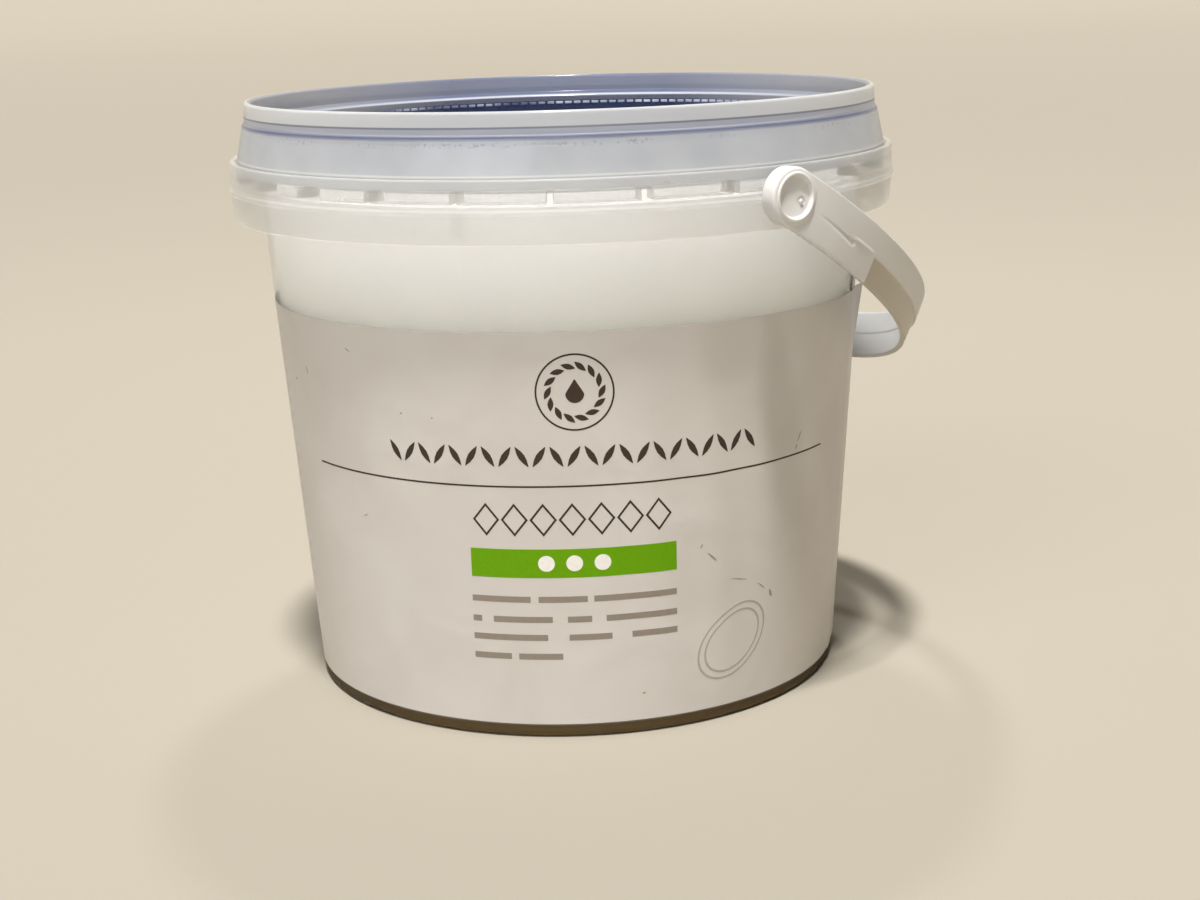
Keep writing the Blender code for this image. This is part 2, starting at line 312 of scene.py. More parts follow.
def blendOf(tree, factor, first, second, kind="RGBA"):  # first where factor is 0, second where it is 1
    sockets = {"RGBA": (6, 7, 2), "FLOAT": (2, 3, 0)}[kind]    # two inputs and the output
    settings, links = {"data_type": kind}, {0: factor}
    for socket, value in zip(sockets, (first, second)):
        if isinstance(value, str):
            settings[socket] = hexColour(value)
        elif isinstance(value, (int, float)):
            settings[socket] = value
        else:
            links[socket] = value
    return addNode(tree, "ShaderNodeMix", settings, links).outputs[sockets[2]]


tubFinish = {                   # heights and radii in millimetres
    "milk": [(0.1, "#EAEAE9"), (0.9, "#FAFAF9")], "rough": (0.28, 0.38), "film": (0.26, 0.3),
    "foot": 2.7, "footSoft": 0.4, "footShadeColour": "#86704A", "footShadeFilm": 0.92,   # painted shade: contact shadow and a brown floor reflection, darker and more opaque
    "webColour": "#D6D4CE", "webFilm": 0.85, "windowFilm": 0.2,
    "collarFrom": 62, "edgeFilm": 0.4,
    "outlineFilm": 0.45, "through": 0.6,
}


def polypropyleneTub():  # natural PP, injection moulded: a thin milky film with a soft satin gloss
    made, tree = newMaterial("naturalPolypropyleneMoulded")
    place = addNode(tree, "ShaderNodeTexCoord").outputs["Object"]
    height, radius = heightAndRadius(tree, place)
    f, s = tubFinish, tubSize
    cloud = addNode(tree, "ShaderNodeTexNoise", {"Scale": 1 / 0.03, "Detail": 1.0}, {"Vector": place})
    skin = addNode(tree, "ShaderNodeTexNoise", {"Scale": 1 / 0.0012, "Detail": 2.0}, {"Vector": place})
    colour = colourRamp(tree, cloud.outputs["Fac"], f["milk"])
    rough = addNode(tree, "ShaderNodeMapRange", {"To Min": f["rough"][0], "To Max": f["rough"][1]},
                    {"Value": cloud.outputs["Fac"]})
    bump = addNode(tree, "ShaderNodeBump", {"Strength": 0.06, "Distance": 0.00005},
                   {"Height": skin.outputs["Fac"]})
    opacity = addNode(tree, "ShaderNodeMapRange", {"To Min": f["film"][0], "To Max": f["film"][1]},
                      {"Value": cloud.outputs["Fac"]})
    # painted shade: the band below the label is tinted brown and made more opaque, standing for the
    # contact shadow and a reflected brown floor
    foot = bandOf(tree, height, -1, f["foot"], f["footSoft"])
    edges = addNode(tree, "ShaderNodeMath", {"operation": "MULTIPLY"},
                    {0: bandOf(tree, height, s["collarTop"] - 0.2, above, 0.06),
                     1: bandOf(tree, radius, f["collarFrom"], above)})
    webs = addNode(tree, "ShaderNodeMath", {"operation": "MULTIPLY"},
                   {0: bandOf(tree, height, s["flangeTop"] + 0.2, s["webTop"] + 0.1),
                    1: bandOf(tree, radius, wallRadius(s["webTop"]) + 0.3, s["collarInner"] - 0.1)})
    window = bandOf(tree, height, s["flangeTop"] - 0.1, s["webTop"] + 0.4, 0.15)
    colour = blendOf(tree, foot, colour, f["footShadeColour"])
    colour = blendOf(tree, webs.outputs[0], colour, f["webColour"])
    amount = blendOf(tree, window, opacity.outputs[0], f["windowFilm"], "FLOAT")
    amount = blendOf(tree, webs.outputs[0], amount, f["webFilm"], "FLOAT")
    amount = blendOf(tree, edges.outputs[0], amount, f["edgeFilm"], "FLOAT")
    amount = blendOf(tree, foot, amount, f["footShadeFilm"], "FLOAT")
    body = addNode(tree, "ShaderNodeBsdfPrincipled", {"IOR": 1.49, "Specular IOR Level": 0.6},
                   {"Base Color": colour, "Roughness": rough.outputs[0], "Normal": bump.outputs[0]})
    filmOver(tree, body, colour, amount, f["outlineFilm"], f["through"])
    return made


lidFinish = {                   # heights and radii in millimetres
    "milk": [(0.1, "#CDD1D8"), (0.9, "#E2E4E7")], "rough": (0.08, 0.16), "outsideFrom": 62.25,
    "outsideBands": [            # lowest, highest, softness, colour
        (115.3, above, 0.1, "#F8F8F6"),      # the bright edge of the stacking ring
        (113.9, 115.05, 0.1, "#CBCDD8"),     # the ring's side
        (115.0, 115.35, 0.06, "#97999F"),    # a fine dark line between them
        (113.2, 113.9, 0.3, "#767B9A"),      # painted shade: the dark purple line that refraction makes at the step, where the wall is thick
        (106.75, 107.15, 0.08, "#F4F4F2"),   # painted highlight: a bright line over the collar
    ],
    "specks": (112.0, 112.7, 0.3), "speckColour": "#BDBFC5",
    # painted shade: the inside is painted dark blue, lighter higher up, for dark surroundings seen
    # through it, and made more opaque
    "inside": "#2A3760", "insideTopShade": "#6E7A9D", "shoulderFrom": 113.7,
    # painted highlight: a pale line along the inside shoulder
    "shoulder": (113.4, 113.8, 0.15), "shoulderHighlight": "#E6ECFA",
    "sides": (25, 60, 0.85), "sideShadeColour": "#B9BBC2",    # painted shade: the dark inside turns paler towards both sides
    "panelTo": 107.6, "panelSoft": 0.4, "panelColour": "#CDD1D8",
    "insideFilm": 0.75, "panelFilm": 0.1, "outsideFilm": 0.65, "outlineFilm": 0.85, "through": 0.4,
}


def polypropyleneLid():  # clear PP, moulded: milky outside with a painted highlight over the collar; painted shade: dark blue inside where dark surroundings show through, and darker lines at its steps
    made, tree = newMaterial("clearPolypropyleneMoulded")
    place = addNode(tree, "ShaderNodeTexCoord").outputs["Object"]
    height, radius = heightAndRadius(tree, place)
    f = lidFinish
    outside = bandOf(tree, radius, f["outsideFrom"], above)
    cloud = addNode(tree, "ShaderNodeTexNoise", {"Scale": 1 / 0.009, "Detail": 2.0}, {"Vector": place})
    milky = colourRamp(tree, cloud.outputs["Fac"], f["milk"])
    for low, high, soft, colour in f["outsideBands"]:
        milky = blendOf(tree, bandOf(tree, height, low, high, soft), milky, colour)
    speck = addNode(tree, "ShaderNodeTexNoise", {"Scale": 1 / 0.0006, "Detail": 1.0}, {"Vector": place})
    patch = addNode(tree, "ShaderNodeTexNoise", {"Scale": 1 / 0.012, "Detail": 0.0}, {"Vector": place})
    dots = addNode(tree, "ShaderNodeMath", {"operation": "MULTIPLY"},
                   {0: bandOf(tree, height, *f["specks"]),
                    1: bandOf(tree, speck.outputs["Fac"], 0.6, 9, 0.05)})
    specks = addNode(tree, "ShaderNodeMath", {"operation": "MULTIPLY"},
                     {0: dots.outputs[0], 1: bandOf(tree, patch.outputs["Fac"], 0.5, 9, 0.1)})
    milky = blendOf(tree, specks.outputs[0], milky, f["speckColour"])
    # painted shade: the dark blue inside, lighter above the shoulder
    upper = bandOf(tree, height, f["shoulderFrom"], above, 0.3)
    insideShade = blendOf(tree, upper, f["inside"], f["insideTopShade"])
    # painted highlight: the pale line at the inside shoulder
    insideShade = blendOf(tree, bandOf(tree, height, *f["shoulder"]), insideShade, f["shoulderHighlight"])
    # painted shade: the dark inside is made paler towards both sides
    across = addNode(tree, "ShaderNodeSeparateXYZ", links={"Vector": place})
    aside = addNode(tree, "ShaderNodeMath", {"operation": "ABSOLUTE"}, {0: across.outputs["X"]})
    start, end, most = f["sides"]
    paler = addNode(tree, "ShaderNodeMapRange",
                    {"From Min": start * mm, "From Max": end * mm, "To Max": most},
                    {"Value": aside.outputs[0]})
    insideShade = blendOf(tree, paler.outputs[0], insideShade, f["sideShadeColour"])
    panel = bandOf(tree, height, 0, f["panelTo"], f["panelSoft"])
    insideShade = blendOf(tree, panel, insideShade, f["panelColour"])
    rough = addNode(tree, "ShaderNodeMapRange", {"To Min": f["rough"][0], "To Max": f["rough"][1]},
                    {"Value": cloud.outputs["Fac"]})
    bump = addNode(tree, "ShaderNodeBump", {"Strength": 0.1, "Distance": 0.0001},
                   {"Height": cloud.outputs["Fac"]})
    colour = blendOf(tree, outside, insideShade, milky)
    body = addNode(tree, "ShaderNodeBsdfPrincipled", {"IOR": 1.49, "Specular IOR Level": 0.6},
                   {"Base Color": colour, "Roughness": rough.outputs[0], "Normal": bump.outputs[0]})
    amount = blendOf(tree, panel, f["insideFilm"], f["panelFilm"], "FLOAT")
    amount = blendOf(tree, outside, amount, f["outsideFilm"], "FLOAT")
    filmOver(tree, body, colour, amount, f["outlineFilm"], f["through"])
    return made


gripFinish = {"colours": [(0.3, "#434E6C"), (0.65, "#B4BCD0")], "shadedSide": -45, "litSide": 5,
              "dull": -0.25, "bright": 0.05}             # sides in millimetres from the middle


def polypropyleneGrips():  # the same clear PP where it is thick, with painted light and shade: dark blue towards -X, pale towards +X
    made, tree = newMaterial("clearPolypropyleneRibs")
    place = addNode(tree, "ShaderNodeTexCoord").outputs["Object"]
    cloud = addNode(tree, "ShaderNodeTexNoise", {"Scale": 1 / 0.012, "Detail": 3.0}, {"Vector": place})
    f = gripFinish
    across = addNode(tree, "ShaderNodeSeparateXYZ", links={"Vector": place})
    # painted light and shade: the ribs darken towards -X and lighten towards +X
    lit = addNode(tree, "ShaderNodeMapRange",
                  {"From Min": f["shadedSide"] * mm, "From Max": f["litSide"] * mm,
                   "To Min": f["dull"], "To Max": f["bright"]}, {"Value": across.outputs["X"]})
    level = addNode(tree, "ShaderNodeMath", {"operation": "ADD"},
                    {0: cloud.outputs["Fac"], 1: lit.outputs[0]})
    colour = colourRamp(tree, level.outputs[0], f["colours"])
    body = addNode(tree, "ShaderNodeBsdfPrincipled", {"IOR": 1.49, "Roughness": 0.15},
                   {"Base Color": colour})
    addNode(tree, "ShaderNodeOutputMaterial", links={"Surface": body.outputs[0]})
    return made


wheyFinish = {                  # heights in millimetres, light's reach in metres
    "colours": [(0.0, "#F8F5EA"), (0.5, "#FAF8F2"), (1.0, "#FBFBF8")], "creamy": 76, "pale": 104,
    "drift": 0.16, "topShade": "#B5B1A6", "topShadeDepth": 0.7,
    "reach": (0.036, 0.035, 0.033), "reachScale": 2.2,
}


def milkyWhey():  # cloudy whey and cream: nearly opaque, glowing where light enters at the top
    made, tree = newMaterial("milkyWhey")
    place = addNode(tree, "ShaderNodeTexCoord").outputs["Object"]
    height, radius = heightAndRadius(tree, place)
    f, level = wheyFinish, wheySize["level"]
    rise = addNode(tree, "ShaderNodeMapRange", {"From Min": f["creamy"], "From Max": f["pale"]},
                   {"Value": height})
    cloud = addNode(tree, "ShaderNodeTexNoise", {"Scale": 1 / 0.02, "Detail": 2.0}, {"Vector": place})
    drift = addNode(tree, "ShaderNodeMath",
                    {"operation": "MULTIPLY_ADD", 1: f["drift"], 2: -f["drift"] / 2},
                    {0: cloud.outputs["Fac"]})
    share = addNode(tree, "ShaderNodeMath", {"operation": "ADD"},
                    {0: rise.outputs[0], 1: drift.outputs[0]})
    colour = colourRamp(tree, share.outputs[0], f["colours"])
    # painted shade: the whey's top surface under the lid
    lidShade = addNode(tree, "ShaderNodeMath", {"operation": "MULTIPLY"},
                    {0: bandOf(tree, height, level - f["topShadeDepth"], above),
                     1: bandOf(tree, radius, -1, wallRadius(level) - 1.6, 0.5)})
    colour = blendOf(tree, lidShade.outputs[0], colour, f["topShade"])   # painted shade: the top surface is darkened as if in the lid's shade
    shader = addNode(tree, "ShaderNodeBsdfPrincipled",
                     {"Roughness": 0.3, "IOR": 1.34, "Subsurface Weight": 1.0,
                      "Subsurface Scale": f["reachScale"], "Subsurface Radius": f["reach"]},
                     {"Base Color": colour})
    addNode(tree, "ShaderNodeOutputMaterial", links={"Surface": shader.outputs[0]})
    return made


def labelPaper():  # coated white paper: satin sheen and faint creases
    made, tree = newMaterial("coatedLabelPaper")
    place = addNode(tree, "ShaderNodeTexCoord").outputs["Object"]
    fibre = addNode(tree, "ShaderNodeTexNoise", {"Scale": 1 / 0.0016, "Detail": 4.0}, {"Vector": place})
    crease = addNode(tree, "ShaderNodeTexNoise", {"Scale": 1 / 0.022, "Detail": 2.0, "Distortion": 0.8},
                     {"Vector": place})
    colour = colourRamp(tree, crease.outputs["Fac"], [(0.3, "#CAC4BE"), (0.7, "#D1CCC7")])
    height = addNode(tree, "ShaderNodeMath", {"operation": "MULTIPLY_ADD", 1: 0.03},
                     {0: fibre.outputs["Fac"], 2: crease.outputs["Fac"]})
    bump = addNode(tree, "ShaderNodeBump", {"Strength": 0.5, "Distance": 0.0006},
                   {"Height": height.outputs[0]})
    shader = addNode(tree, "ShaderNodeBsdfPrincipled", {"Roughness": 0.4, "IOR": 1.45},
                     {"Base Color": colour, "Normal": bump.outputs[0]})
    addNode(tree, "ShaderNodeOutputMaterial", links={"Surface": shader.outputs[0]})
    return made


def printInk(name, colour):  # flat offset ink, matt, a little uneven where the paper shows through
    made, tree = newMaterial(name)
    place = addNode(tree, "ShaderNodeTexCoord").outputs["Object"]
    grain = addNode(tree, "ShaderNodeTexNoise", {"Scale": 1 / 0.0006, "Detail": 2.0}, {"Vector": place})
    tint = addNode(tree, "ShaderNodeHueSaturation", {"Color": hexColour(colour)})
    value = addNode(tree, "ShaderNodeMapRange", {"To Min": 0.9, "To Max": 1.1},
                    {"Value": grain.outputs["Fac"]})
    tree.links.new(value.outputs[0], tint.inputs["Value"])
    shader = addNode(tree, "ShaderNodeBsdfPrincipled", {"Roughness": 0.5, "Specular IOR Level": 0.12},
                     {"Base Color": tint.outputs[0]})
    addNode(tree, "ShaderNodeOutputMaterial", links={"Surface": shader.outputs[0]})
    return made


handleFinish = {                # distances from the pivot along the strap, in millimetres
    "plastic": [(0.3, "#D2D0CE"), (0.7, "#DAD9D8")], "outerFrom": 0.985,
    "inner": (12, 2, "#B7B9BB"),         # start, softness and colour of the inside face, painted greyer as shade
    "thin": (27, 0.3, "#BDB4A4"),        # the same for the lower half past the step: painted shade and a warm reflection, darker and browner
    "bendShade": (40, 84, 0.75, "#A79C8A"),   # start, end and most of the painted shade: darker and yellower towards the middle of the bend
}


def polypropyleneHandle():  # white-filled PP, injection moulded: opaque with a waxy soft gloss
    made, tree = newMaterial("whitePolypropyleneMoulded")
    place = addNode(tree, "ShaderNodeTexCoord").outputs["Object"]
    skin = addNode(tree, "ShaderNodeTexNoise", {"Scale": 1 / 0.0008, "Detail": 3.0}, {"Vector": place})
    cloud = addNode(tree, "ShaderNodeTexNoise", {"Scale": 1 / 0.015}, {"Vector": place})
    f = handleFinish
    colour = colourRamp(tree, cloud.outputs["Fac"], f["plastic"])
    fromPivot = addNode(tree, "ShaderNodeVectorMath", {"operation": "SUBTRACT", 1: pivotPlace},
                        {0: place})
    across = addNode(tree, "ShaderNodeVectorMath", {"operation": "DOT_PRODUCT", 1: strapAcross},
                     {0: fromPivot.outputs[0]})
    along = addNode(tree, "ShaderNodeVectorMath", {"operation": "DOT_PRODUCT", 1: strapStart},
                    {0: fromPivot.outputs[0]})
    aside = addNode(tree, "ShaderNodeVectorMath", {"operation": "DOT_PRODUCT", 1: pivotAxis},
                    {0: fromPivot.outputs[0]})
    onEllipse = addNode(tree, "ShaderNodeCombineXYZ", links={"X": aside.outputs["Value"],
                                                             "Y": along.outputs["Value"]})
    halves = (handleSize["radius"] * mm, handleSize["reach"] * mm, 1)
    share = addNode(tree, "ShaderNodeVectorMath", {"operation": "DIVIDE", 1: halves},
                    {0: onEllipse.outputs[0]})
    share = addNode(tree, "ShaderNodeVectorMath", {"operation": "LENGTH"}, {0: share.outputs[0]})
    outer = bandOf(tree, share.outputs["Value"], f["outerFrom"], 2, 0.002)
    # painted shade: the inside face, from near the pivot on, is greyer
    start, soft, tint = f["inner"]
    inside = blendOf(tree, bandOf(tree, along.outputs["Value"], start * mm, 1, soft * mm), colour, tint)
    colour = blendOf(tree, outer, inside, colour)
    # painted shade: the outer face's lower half past the step is darker and browner
    start, soft, tint = f["thin"]
    shadedLowerHalf = addNode(tree, "ShaderNodeMath", {"operation": "MULTIPLY"},
                        {0: bandOf(tree, across.outputs["Value"], -1, -0.1 * mm, 0.15 * mm),
                         1: bandOf(tree, along.outputs["Value"], start * mm, 1, soft * mm)})
    recess = addNode(tree, "ShaderNodeMath", {"operation": "MULTIPLY"},
                     {0: shadedLowerHalf.outputs[0], 1: outer})
    colour = blendOf(tree, recess.outputs[0], colour, tint)
    # painted shade: darker and yellower towards the middle of the bend
    start, end, most, tint = f["bendShade"]
    middle = addNode(tree, "ShaderNodeMapRange",
                     {"From Min": start * mm, "From Max": end * mm, "To Max": most},
                     {"Value": along.outputs["Value"]})
    bendShadeMask = addNode(tree, "ShaderNodeMath", {"operation": "MULTIPLY"}, {0: middle.outputs[0], 1: outer})
    colour = blendOf(tree, bendShadeMask.outputs[0], colour, tint)
    bump = addNode(tree, "ShaderNodeBump", {"Strength": 0.15, "Distance": 0.00006},
                   {"Height": skin.outputs["Fac"]})
    shader = addNode(tree, "ShaderNodeBsdfPrincipled",
                     {"Roughness": 0.36, "IOR": 1.49, "Subsurface Weight": 0.15,
                      "Subsurface Radius": (0.002, 0.0018, 0.0015)},
                     {"Base Color": colour, "Normal": bump.outputs[0]})
    addNode(tree, "ShaderNodeOutputMaterial", links={"Surface": shader.outputs[0]})
    return made


tubSize = {                     # millimetres
    "wallBase": 53.7, "draft": 0.070, "wall": 0.9,
    "foot": 1.3, "floorTop": 1.4, "gatePad": 14, "standingRing": 47, "recess": 0.5,
    "rimTop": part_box("tub")[1].z / mm, "bead": 0.8,
    "collar": 66.5, "collarInner": 65.4, "collarTop": 106.6, "collarBottom": 95.1, "skirt": 66.0,
    "flangeBottom": 101.2, "flangeTop": 102.2, "fin": 100.9, "finRadius": 66.8,
    "webCount": 24, "webPhase": -2, "webWidths": (1.2, 2.2, 1.3, 1.3, 1.3, 1.6, 1.3, 1.3),
    "webTop": 104.3, "lowerWebStep": 6, "lowerWebBottom": 96.4,
    "boss": 4.8, "bossFace": 66.9, "hole": 2.6, "holeEnd": 63.9,
}
pivotPlace = Vector(frame["joints"][0]["pos_m"])
pivotAxis = Vector(frame["joints"][0]["axis"]).normalized()
strapDroop = math.radians(30)   # how far the resting handle hangs below level
strapLevel = Vector((0, 0, 1)).cross(pivotAxis)
strapStart = strapLevel * math.cos(strapDroop) - Vector((0, 0, math.sin(strapDroop)))
strapAcross = strapLevel * math.sin(strapDroop) + Vector((0, 0, math.cos(strapDroop)))


def wallRadius(height):
    return tubSize["wallBase"] + tubSize["draft"] * height


def radialBlock(azimuth, inner, outer, width, bottom, top):
    bpy.ops.object.select_all(action="DESELECT")
    bpy.ops.mesh.primitive_cube_add(size=1, location=around((inner + outer) / 2 * mm, azimuth,
                                                            (bottom + top) / 2 * mm),
                                    rotation=(0, 0, math.radians(azimuth)))
    block = bpy.context.object
    block.scale = (width * mm, (outer - inner) * mm, (top - bottom) * mm)
    settle(block)
    return block


def pivotCylinder(radius, inner, outer, side, facets=48, along=0):
    bpy.ops.object.select_all(action="DESELECT")
    bpy.ops.mesh.primitive_cylinder_add(vertices=facets, radius=radius * mm, depth=(outer - inner) * mm)
    cylinder = bpy.context.object
    place = pivotPlace + (pivotAxis * side * (inner + outer) / 2 + strapStart * along) * mm
    cylinder.matrix_world = (Matrix.Translation(place)
                             @ pivotAxis.to_track_quat("Z", "Y").to_matrix().to_4x4())
    settle(cylinder)
    return cylinder


def makeTub():
    s = tubSize
    slope = s["recess"] * 1.5
    corners = [
        (0, 0, 0), (s["gatePad"], 0, 0.3), (s["gatePad"] + slope, s["recess"], 0.3),
        (s["standingRing"] - slope, s["recess"], 0.3), (s["standingRing"], 0, 0.3),
        (wallRadius(0), 0, s["foot"]),
        (wallRadius(s["flangeBottom"]), s["flangeBottom"], 0.5),
        (s["collarInner"], s["flangeBottom"], 0.4),
        (s["skirt"] - 1, s["collarBottom"], 0.35), (s["skirt"], s["collarBottom"], 0.4),
        (s["collar"], s["fin"] - 0.6, 0.3), (s["finRadius"], s["fin"] - 0.1, 0.08),
        (s["finRadius"], s["fin"] + 0.1, 0.08), (s["collar"], s["fin"] + 0.6, 0.3),
        (s["collar"], s["collarTop"], 0.45), (s["collarInner"], s["collarTop"], 0.4),
        (s["collarInner"], s["flangeTop"], 0.3), (wallRadius(s["flangeTop"]), s["flangeTop"], 0.3),
        (wallRadius(s["rimTop"]), s["rimTop"] - 2 * s["bead"], 0.2),
        (wallRadius(s["rimTop"]) + 0.4, s["rimTop"] - s["bead"], 0.3),
        (wallRadius(s["rimTop"]) - 0.2, s["rimTop"], 0.2),
        (wallRadius(s["rimTop"]) - s["wall"], s["rimTop"], 0.2),
        (wallRadius(s["floorTop"]) - s["wall"], s["floorTop"], 2.2), (0, s["floorTop"], 0),
    ]
    tub = turnOutline("tubShell", corners)
    blocks = []
    wallMiddle = wallRadius(s["flangeTop"]) - s["wall"] / 2
    for i in range(s["webCount"]):
        azimuth = s["webPhase"] + 360 / s["webCount"] * i
        width = s["webWidths"][i % len(s["webWidths"])]
        low = (s["flangeBottom"] + s["flangeTop"]) / 2
        blocks.append(radialBlock(azimuth, wallMiddle, s["collarInner"] + 0.4, width, low, s["webTop"]))
        if i % s["lowerWebStep"] == s["lowerWebStep"] - 1:
            blocks.append(radialBlock(azimuth, wallRadius(s["lowerWebBottom"]) - s["wall"] / 2,
                                      s["skirt"] - 0.45, 1.3, s["lowerWebBottom"], low - 0.1))
    cutOrJoin(tub, joinPieces("webs", blocks), "UNION")
    for side in (1, -1):
        cutOrJoin(tub, pivotCylinder(s["boss"], s["collarInner"] + 0.3, s["bossFace"], side), "UNION")
        cutOrJoin(tub, pivotCylinder(s["hole"], s["holeEnd"], s["bossFace"] + 0.3, side), "DIFFERENCE")
    finishPiece(tub, polypropyleneTub(), "tub", "tub", 30)


makeTub()
print("tub ready")


lidSize = {                     # millimetres
    "top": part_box("lid")[1].z / mm,
    "ring": 63.0, "ringInner": 61.5, "stepHeight": 114.0, "step": 63.6,
    "skirt": 64.95, "skirtBottom": 104.6, "skirtWall": 1.1,
    "channelTop": 112.2, "plug": 59.8, "plugBottom": 104.4, "plugWall": 1.0,
    "shoulder": 113.5, "panelTop": 106.4, "panel": 1.0, "panelStep": 46, "gate": 1.5,
    "gripCount": 180, "gripHeight": 111.9, "gripSize": (1.6, 0.35, 0.55),
}


def makeLid():
    s = lidSize
    plugInner = s["plug"] - s["plugWall"]
    skirtInner = s["skirt"] - s["skirtWall"]
    channel = s["step"] - s["skirtWall"]
    corners = [
        (0, s["panelTop"] - s["panel"], 0), (plugInner - 0.5, s["panelTop"] - s["panel"], 0.3),
        (plugInner, s["plugBottom"], 0.1), (s["plug"] - 0.2, s["plugBottom"], 0.2),
        (s["plug"], s["plugBottom"] + 1, 0.3),
        (s["plug"], s["channelTop"], 0.6), (channel, s["channelTop"], 0.6),
        (skirtInner, tubSize["collarTop"], 0.5),
        (skirtInner, s["skirtBottom"], 0.25), (s["skirt"], s["skirtBottom"], 0.25),
        (s["skirt"], tubSize["collarTop"] + 0.3, 0.5),
        (s["step"], s["stepHeight"] - 0.6, 0.25), (s["ring"] + 0.15, s["stepHeight"], 0.2),
        (s["ring"], s["top"], 0.55), (s["ringInner"], s["top"], 0.55),
        (s["ringInner"], s["shoulder"] + 0.8, 0.3), (plugInner, s["shoulder"], 0.4),
        (plugInner - 0.2, s["panelTop"], 0.6), (s["panelStep"] + 0.5, s["panelTop"], 0.4),
        (s["panelStep"], s["panelTop"] + 0.4, 0.4), (s["gate"] + 0.4, s["panelTop"] + 0.4, 0.2),
        (s["gate"], s["panelTop"] + 0.7, 0.15), (0, s["panelTop"] + 0.7, 0),
    ]
    lid = turnOutline("lidShell", corners)
    finishPiece(lid, polypropyleneLid(), "tub", "lid", 30)
    width, depth, height = s["gripSize"]
    blocks = [radialBlock(360 / s["gripCount"] * i, plugInner - depth + 0.12, plugInner + 0.12, width,
                          s["gripHeight"] - height / 2, s["gripHeight"] + height / 2)
              for i in range(s["gripCount"])]
    grips = joinPieces("lidGripRing", blocks)
    applyModifier(grips, "BEVEL", width=0.12 * mm, segments=1)
    finishPiece(grips, polypropyleneGrips(), "tub", None)


makeLid()
print("lid ready")


wheySize = {"level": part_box("contents")[1].z / mm, "intoWall": 0.06, "meniscus": 0.5}


def makeWhey():
    s = wheySize
    reach = tubSize["wall"] - s["intoWall"]
    bottom = tubSize["floorTop"] - s["intoWall"]
    corners = [
        (0, bottom, 0), (wallRadius(bottom) - reach, bottom, 2.2),
        (wallRadius(s["level"]) - reach, s["level"], 0),
        (wallRadius(s["level"]) - reach - 0.1, s["level"], 0),
        (wallRadius(s["level"]) - reach - 1.0, s["level"] - s["meniscus"], 0.8),
        (0, s["level"] - s["meniscus"], 0),
    ]
    whey = turnOutline("whey", corners)
    finishPiece(whey, milkyWhey(), "tub", "contents", 40)


makeWhey()
print("contents ready")


labelSize = {                   # millimetres
    "bottom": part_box("label")[0].z / mm, "top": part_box("label")[1].z / mm,
    "gap": 0.02, "thickness": 0.12, "seam": 84, "lap": 10, "lapRise": 0.14,
    "columns": 420, "rows": 36,
    "topRise": 0.3, "topShare": 0.8,     # how the upper edge is cut: a slow wave and a slight slope
    "topWave": 0.35, "topTurns": 2.1, "topStart": 0.8, "topSlope": 0.009,
    "cornerLift": 1.1, "cornerReach": 14, "endReach": 7, "endLift": 0.35, "endSpread": 5,
    # soft upright folds: height, and where they are, in degrees from the front
    "wave": 0.3, "waveMiddle": 27, "waveSpread": 14, "waveTurn": 13, "waveSlant": -0.12,
    "waveLevel": 45, "waveFoot": 20,
}


def paperWave(azimuth, height):  # the paper stands off a little in soft upright folds on the right
    s = labelSize
    reach = math.exp(-((azimuth - s["waveMiddle"]) / s["waveSpread"]) ** 2)
    phase = (azimuth - s["waveMiddle"] - s["waveSlant"] * (height - s["waveLevel"])) / s["waveTurn"]
    fold = 0.5 + 0.5 * math.cos(math.tau * phase)
    return s["wave"] * reach * fold * min(1, height / s["waveFoot"])


def makeLabel():
    s = labelSize
    turn = 360 + s["lap"]
    bpy.ops.object.select_all(action="DESELECT")
    bpy.ops.mesh.primitive_grid_add(x_subdivisions=s["columns"], y_subdivisions=s["rows"], size=1)
    label = bpy.context.object
    label.name = "labelWrap"
    for vertex in label.data.vertices:
        along, up = vertex.co.x + 0.5, vertex.co.y + 0.5
        azimuth = s["seam"] - turn * (1 - along)
        edge = s["topWave"] * math.sin(math.radians(azimuth) * s["topTurns"] + s["topStart"])
        top = s["top"] + s["topRise"] + (edge - s["topSlope"] * azimuth) * s["topShare"]
        height = s["bottom"] + up * (top - s["bottom"])
        lapped = min(1, max(0, (azimuth - (s["seam"] - s["lap"]) + 2) / 2))
        fromEnd = math.radians(s["seam"] - azimuth) * wallRadius(height)
        fromTop = (1 - up) * (s["top"] - s["bottom"])
        lift = max(0, 1 - fromEnd / s["endReach"]) ** 2 * max(0, 1 - fromTop / s["cornerReach"])
        lift = s["cornerLift"] * (lift + s["endLift"] * max(0, 1 - fromEnd / s["endSpread"]) ** 2)
        radius = wallRadius(height) + s["gap"] + s["thickness"] + s["lapRise"] * lapped + lift
        radius += paperWave(azimuth, height)
        vertex.co = around(radius * mm, azimuth, height * mm)
    faceOutwards(label, lambda centre: Vector((centre.x, centre.y, 0)))
    applyModifier(label, "SOLIDIFY", thickness=s["thickness"] * mm, offset=-1)
    finishPiece(label, labelPaper(), "tub", "label", 40)


makeLabel()
print("label ready")


